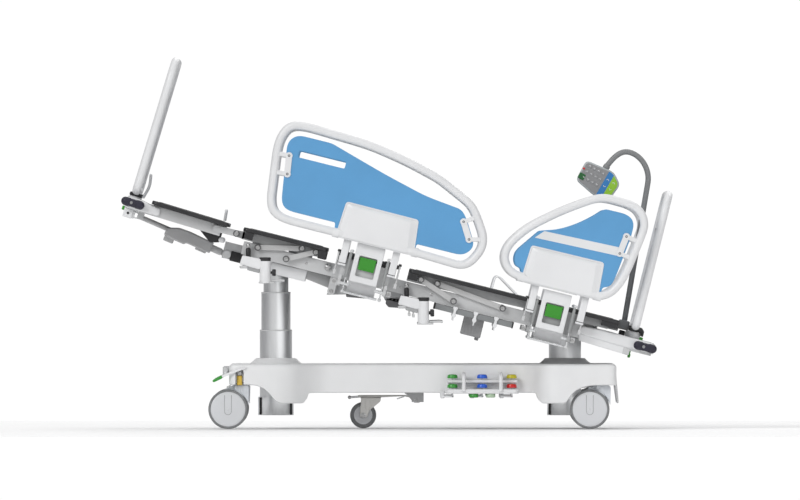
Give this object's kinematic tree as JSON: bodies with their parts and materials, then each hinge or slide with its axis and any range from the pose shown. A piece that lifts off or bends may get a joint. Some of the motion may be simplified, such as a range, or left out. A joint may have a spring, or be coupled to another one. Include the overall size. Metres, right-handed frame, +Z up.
{
  "type": "adjustable hospital bed",
  "caption": "Adjustable hospital bed on a castered base: telescopic lift columns, tilting frame, hinged platform sections, drop side rails, end boards and a hand control.",
  "frame": {"origin": "on the floor, at the centre of the bed's length and width in the tilted rest pose", "axes": "+X toward the head end, -Y the near long side, +Z up"},
  "size_m": [2.1036, 0.982, 1.4175],
  "materials": {
    "white_cover": "moulded, satin",
    "white_steel": "powder coat",
    "grey_steel": "powder coat",
    "column_alloy": "brushed, anodised",
    "blue_panel": "moulded, satin",
    "board_panel": "moulded, satin",
    "deck_black": "textured",
    "actuator_grey": "moulded",
    "caster_shell": "moulded",
    "caster_tread": "tread grey",
    "fork_steel": "brushed",
    "release_green": "moulded",
    "pedal_green": "moulded",
    "pedal_blue": "moulded",
    "pedal_yellow": "moulded",
    "handset_grey": "moulded",
    "end_cover_white": "moulded",
    "socket_white": "powder coat",
    "rail_grey": "powder coat"
  },
  "bodies": {
    "base": {"base_cover": "white_cover", "base_frame": "grey_steel", "column_outer_tubes": "column_alloy", "pedal_panels": "white_steel"},
    "caster_foot_near": {"caster_housing_foot_near": "caster_shell"},
    "wheels_foot_near": {"caster_wheels_foot_near": "caster_tread"},
    "caster_foot_far": {"caster_housing_foot_far": "caster_shell"},
    "wheels_foot_far": {"caster_wheels_foot_far": "caster_tread"},
    "caster_head_near": {"caster_housing_head_near": "caster_shell"},
    "wheels_head_near": {"caster_wheels_head_near": "caster_tread"},
    "caster_head_far": {"caster_housing_head_far": "caster_shell"},
    "wheels_head_far": {"caster_wheels_head_far": "caster_tread"},
    "fifth_arm": {"fifth_wheel_arm": "fork_steel"},
    "fifth_roller": {"fifth_wheel": "caster_tread"},
    "brake": {"brake_pedal": "white_steel"},
    "pedal_height_rocker": {"pedal_height": "pedal_green"},
    "pedal_backrest_rocker": {"pedal_backrest": "pedal_blue"},
    "pedal_tilt_rocker": {"pedal_tilt": "pedal_yellow"},
    "head_stage_2": {"head_column_middle": "column_alloy"},
    "head_stage_3": {"head_column_inner": "column_alloy"},
    "foot_stage_2": {"foot_column_middle": "column_alloy"},
    "foot_stage_3": {"foot_column_inner": "column_alloy"},
    "bed": {"main_frame": "white_steel", "head_end_cover": "end_cover_white", "seat_deck": "deck_black", "accessory_rails": "rail_grey", "control_boxes": "actuator_grey", "iv_pole_sockets": "socket_white"},
    "head_board": {"headboard": "board_panel"},
    "back_long": {"backrest_long_links": "grey_steel"},
    "back_short": {"backrest_short_links": "grey_steel"},
    "back": {"backrest_frame": "grey_steel", "backrest_deck": "deck_black"},
    "thigh_long": {"thigh_long_links": "grey_steel"},
    "thigh_short": {"thigh_short_links": "grey_steel"},
    "thigh": {"thigh_section": "deck_black"},
    "calf": {"calf_frame": "grey_steel", "calf_deck": "deck_black", "foot_end_cover": "end_cover_white"},
    "calf_jack": {"calf_actuator_body": "actuator_grey"},
    "calf_jack_rod": {"calf_actuator_rod": "column_alloy"},
    "foot_board": {"footboard": "board_panel"},
    "large_arm_near": {"large_rail_arm_near": "end_cover_white"},
    "large_rail_near": {"large_rail_frame_near": "white_steel", "large_rail_panel_near": "blue_panel"},
    "large_flap_near": {"large_release_flap_near": "release_green"},
    "large_arm_far": {"large_rail_arm_far": "end_cover_white"},
    "large_rail_far": {"large_rail_frame_far": "white_steel", "large_rail_panel_far": "blue_panel"},
    "large_flap_far": {"large_release_flap_far": "release_green"},
    "small_arm_near": {"small_rail_arm_near": "end_cover_white"},
    "small_rail_near": {"small_rail_frame_near": "white_steel", "small_rail_panel_near": "blue_panel"},
    "small_flap_near": {"small_release_flap_near": "release_green"},
    "small_arm_far": {"small_rail_arm_far": "end_cover_white"},
    "small_rail_far": {"small_rail_frame_far": "white_steel", "small_rail_panel_far": "blue_panel"},
    "small_flap_far": {"small_release_flap_far": "release_green"},
    "hand_control": {"handset_arm": "rail_grey", "handset": "handset_grey"}
  },
  "joints": [
    {"name": "swivel_foot_near", "type": "hinge", "parent": "base", "child": "caster_foot_near", "pos_m": [-0.602, -0.32, 0.15], "axis": [0, 0, 1], "continuous": true},
    {"name": "roll_foot_near", "type": "hinge", "parent": "caster_foot_near", "child": "wheels_foot_near", "pos_m": [-0.646, -0.32, 0.075], "axis": [0, 1, 0], "continuous": true},
    {"name": "swivel_foot_far", "type": "hinge", "parent": "base", "child": "caster_foot_far", "pos_m": [-0.602, 0.32, 0.15], "axis": [0, 0, 1], "continuous": true},
    {"name": "roll_foot_far", "type": "hinge", "parent": "caster_foot_far", "child": "wheels_foot_far", "pos_m": [-0.646, 0.32, 0.075], "axis": [0, 1, 0], "continuous": true},
    {"name": "swivel_head_near", "type": "hinge", "parent": "base", "child": "caster_head_near", "pos_m": [0.773, -0.32, 0.15], "axis": [0, 0, 1], "continuous": true},
    {"name": "roll_head_near", "type": "hinge", "parent": "caster_head_near", "child": "wheels_head_near", "pos_m": [0.729, -0.32, 0.075], "axis": [0, 1, 0], "continuous": true},
    {"name": "swivel_head_far", "type": "hinge", "parent": "base", "child": "caster_head_far", "pos_m": [0.773, 0.32, 0.15], "axis": [0, 0, 1], "continuous": true},
    {"name": "roll_head_far", "type": "hinge", "parent": "caster_head_far", "child": "wheels_head_far", "pos_m": [0.729, 0.32, 0.075], "axis": [0, 1, 0], "continuous": true},
    {"name": "fifth_wheel_lift", "type": "hinge", "parent": "base", "child": "fifth_arm", "pos_m": [0.075, 0, 0.119], "axis": [0, 1, 0], "range_deg": [0, 8]},
    {"name": "fifth_wheel_roll", "type": "hinge", "parent": "fifth_arm", "child": "fifth_roller", "pos_m": [-0.133, 0, 0.05], "axis": [0, 1, 0], "continuous": true},
    {"name": "brake_rock", "type": "hinge", "parent": "base", "child": "brake", "pos_m": [-0.655, 0, 0.222], "axis": [0, 1, 0], "range_deg": [-12, 12]},
    {"name": "pedal_height_press", "type": "hinge", "parent": "base", "child": "pedal_height_rocker", "pos_m": [0.169, 0, 0.122], "axis": [0, 1, 0], "range_deg": [-4, 4], "stiffness_Nm_per_rad": 60},
    {"name": "pedal_backrest_press", "type": "hinge", "parent": "base", "child": "pedal_backrest_rocker", "pos_m": [0.282, 0, 0.122], "axis": [0, 1, 0], "range_deg": [-4, 4], "stiffness_Nm_per_rad": 60},
    {"name": "pedal_tilt_press", "type": "hinge", "parent": "base", "child": "pedal_tilt_rocker", "pos_m": [0.394, 0, 0.122], "axis": [0, 1, 0], "range_deg": [-4, 4], "stiffness_Nm_per_rad": 60},
    {"name": "head_lift", "type": "slide", "parent": "base", "child": "head_stage_2", "axis": [0, 0, 1], "range_m": [0, 0.06]},
    {"name": "head_lift_inner", "type": "slide", "parent": "head_stage_2", "child": "head_stage_3", "axis": [0, 0, 1], "range_m": [0, 0.06]},
    {"name": "tilt", "type": "hinge", "parent": "head_stage_3", "child": "bed", "pos_m": [0.637, 0, 0.405], "axis": [0, -1, 0], "range_deg": [0, 14]},
    {"name": "foot_tilt_stage", "type": "slide", "parent": "base", "child": "foot_stage_2", "axis": [0, 0, -1], "range_m": [0, 0.2755]},
    {"name": "foot_lift_stage", "type": "slide", "parent": "foot_stage_2", "child": "foot_stage_3", "axis": [0, 0, 1], "range_m": [0, 0.12]},
    {"name": "headboard_lift_off", "type": "slide", "parent": "bed", "child": "head_board", "axis": [0.2419, 0, 0.9703], "range_m": [0, 0.12]},
    {"name": "backrest_raise", "type": "hinge", "parent": "bed", "child": "back_long", "pos_m": [0.39783, 0, 0.45845], "axis": [0, 1, 0], "range_deg": [0, 38.97]},
    {"name": "backrest_short_link", "type": "hinge", "parent": "bed", "child": "back_short", "pos_m": [0.21081, 0, 0.4855], "axis": [0, 1, 0], "range_deg": [0, 62.95]},
    {"name": "backrest_section", "type": "hinge", "parent": "back_long", "child": "back", "pos_m": [0.15014, 0, 0.55215], "axis": [0, -1, 0], "range_deg": [0, 109]},
    {"name": "thigh_raise", "type": "hinge", "parent": "bed", "child": "thigh_long", "pos_m": [-0.53281, 0, 0.68997], "axis": [0, -1, 0], "range_deg": [0, 38.7]},
    {"name": "thigh_short_link", "type": "hinge", "parent": "bed", "child": "thigh_short", "pos_m": [-0.42522, 0, 0.64614], "axis": [0, -1, 0], "range_deg": [0, 47]},
    {"name": "thigh_section_hinge", "type": "hinge", "parent": "thigh_long", "child": "thigh", "pos_m": [-0.36485, 0, 0.68571], "axis": [0, 1, 0], "range_deg": [0, 78.8]},
    {"name": "knee", "type": "hinge", "parent": "thigh", "child": "calf", "pos_m": [-0.61348, 0, 0.74255], "axis": [0, -1, 0], "range_deg": [0, 78.5]},
    {"name": "calf_jack_pivot", "type": "hinge", "parent": "bed", "child": "calf_jack", "pos_m": [-0.65394, 0, 0.66297], "axis": [0, 1, 0], "range_deg": [0, 7.55]},
    {"name": "calf_jack_rod_stroke", "type": "slide", "parent": "calf_jack", "child": "calf_jack_rod", "axis": [0.9173, 0, -0.3983], "range_m": [0, 0.0909]},
    {"name": "footboard_lift_off", "type": "slide", "parent": "calf", "child": "foot_board", "axis": [0.289, 0, 0.9573], "range_m": [0, 0.12]},
    {"name": "large_rail_drop_near", "type": "hinge", "parent": "bed", "child": "large_arm_near", "pos_m": [-0.1392, -0.446, 0.53669], "axis": [0.9703, 0, -0.2419], "range_deg": [0, 165]},
    {"name": "large_rail_level_near", "type": "hinge", "parent": "large_arm_near", "child": "large_rail_near", "pos_m": [-0.09686, -0.446, 0.70649], "axis": [-0.9703, 0, 0.2419], "range_deg": [0, 165]},
    {"name": "large_flap_pull_near", "type": "hinge", "parent": "large_arm_near", "child": "large_flap_near", "pos_m": [-0.11234, -0.447, 0.64439], "axis": [-0.9703, 0, 0.2419], "range_deg": [0, 14], "stiffness_Nm_per_rad": 1},
    {"name": "large_rail_drop_far", "type": "hinge", "parent": "bed", "child": "large_arm_far", "pos_m": [-0.1392, 0.446, 0.53669], "axis": [-0.9703, 0, 0.2419], "range_deg": [0, 165]},
    {"name": "large_rail_level_far", "type": "hinge", "parent": "large_arm_far", "child": "large_rail_far", "pos_m": [-0.09686, 0.446, 0.70649], "axis": [0.9703, 0, -0.2419], "range_deg": [0, 165]},
    {"name": "large_flap_pull_far", "type": "hinge", "parent": "large_arm_far", "child": "large_flap_far", "pos_m": [-0.11234, 0.447, 0.64439], "axis": [0.9703, 0, -0.2419], "range_deg": [0, 14], "stiffness_Nm_per_rad": 1},
    {"name": "small_rail_drop_near", "type": "hinge", "parent": "back", "child": "small_arm_near", "pos_m": [0.56912, -0.446, 0.36009], "axis": [0.9703, 0, -0.2419], "range_deg": [0, 165]},
    {"name": "small_rail_level_near", "type": "hinge", "parent": "small_arm_near", "child": "small_rail_near", "pos_m": [0.61145, -0.446, 0.52989], "axis": [-0.9703, 0, 0.2419], "range_deg": [0, 165]},
    {"name": "small_flap_pull_near", "type": "hinge", "parent": "small_arm_near", "child": "small_flap_near", "pos_m": [0.59597, -0.447, 0.46779], "axis": [-0.9703, 0, 0.2419], "range_deg": [0, 14], "stiffness_Nm_per_rad": 1},
    {"name": "small_rail_drop_far", "type": "hinge", "parent": "back", "child": "small_arm_far", "pos_m": [0.56912, 0.446, 0.36009], "axis": [-0.9703, 0, 0.2419], "range_deg": [0, 165]},
    {"name": "small_rail_level_far", "type": "hinge", "parent": "small_arm_far", "child": "small_rail_far", "pos_m": [0.61145, 0.446, 0.52989], "axis": [0.9703, 0, -0.2419], "range_deg": [0, 165]},
    {"name": "small_flap_pull_far", "type": "hinge", "parent": "small_arm_far", "child": "small_flap_far", "pos_m": [0.59597, 0.447, 0.46779], "axis": [0.9703, 0, -0.2419], "range_deg": [0, 14], "stiffness_Nm_per_rad": 1},
    {"name": "handset_swing", "type": "hinge", "parent": "back", "child": "hand_control", "pos_m": [0.86062, -0.25, 0.40078], "axis": [0.2419, 0, 0.9703], "range_deg": [-45, 45]}
  ],
  "couplings": [
    {"joint": "head_lift_inner", "follows": "head_lift", "ratio": 1},
    {"joint": "foot_tilt_stage", "follows": "tilt", "m_per_rad": 1.1255},
    {"joint": "foot_lift_stage", "follows": "head_lift", "ratio": 2},
    {"joint": "backrest_short_link", "follows": "backrest_raise", "ratio": 1.6146},
    {"joint": "backrest_section", "follows": "backrest_raise", "ratio": 2.7964},
    {"joint": "thigh_short_link", "follows": "thigh_raise", "ratio": 1.2127},
    {"joint": "thigh_section_hinge", "follows": "thigh_raise", "ratio": 2.0337},
    {"joint": "knee", "follows": "thigh_raise", "ratio": 2.0271},
    {"joint": "calf_jack_pivot", "follows": "thigh_raise", "ratio": 0.1938},
    {"joint": "calf_jack_rod_stroke", "follows": "thigh_raise", "m_per_rad": 0.1343},
    {"joint": "large_rail_level_near", "follows": "large_rail_drop_near", "ratio": 1},
    {"joint": "large_rail_level_far", "follows": "large_rail_drop_far", "ratio": 1},
    {"joint": "small_rail_level_near", "follows": "small_rail_drop_near", "ratio": 1},
    {"joint": "small_rail_level_far", "follows": "small_rail_drop_far", "ratio": 1}
  ]
}
